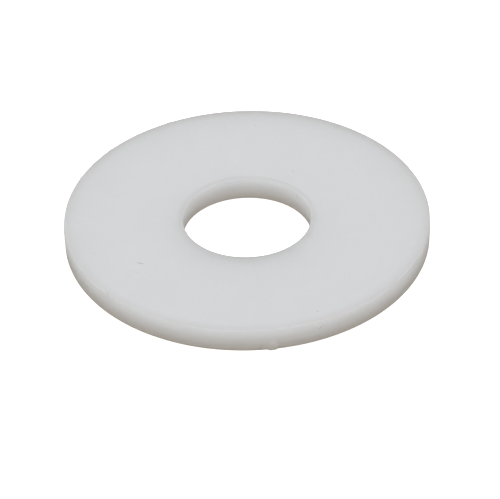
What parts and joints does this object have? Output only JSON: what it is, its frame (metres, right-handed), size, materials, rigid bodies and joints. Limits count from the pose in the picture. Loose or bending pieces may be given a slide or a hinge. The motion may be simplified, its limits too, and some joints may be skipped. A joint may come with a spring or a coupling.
{
  "type": "flat washer",
  "caption": "Large flat round washer in natural white nylon, with a plain round hole for an M8 screw.",
  "frame": {"origin": "centre of the underside, on the washer's axis", "axes": "+Z along the washer's axis, out of the top face, which is the face with the sharp edges; the gate stub is on the rim, 6.9 degrees from -Y towards +X"},
  "size_m": [0.024, 0.024, 0.0016],
  "materials": {
    "natural_nylon": "natural white moulded nylon, satin, slightly translucent"
  },
  "bodies": {
    "root": {"washer": "natural_nylon"}
  },
  "joints": []
}
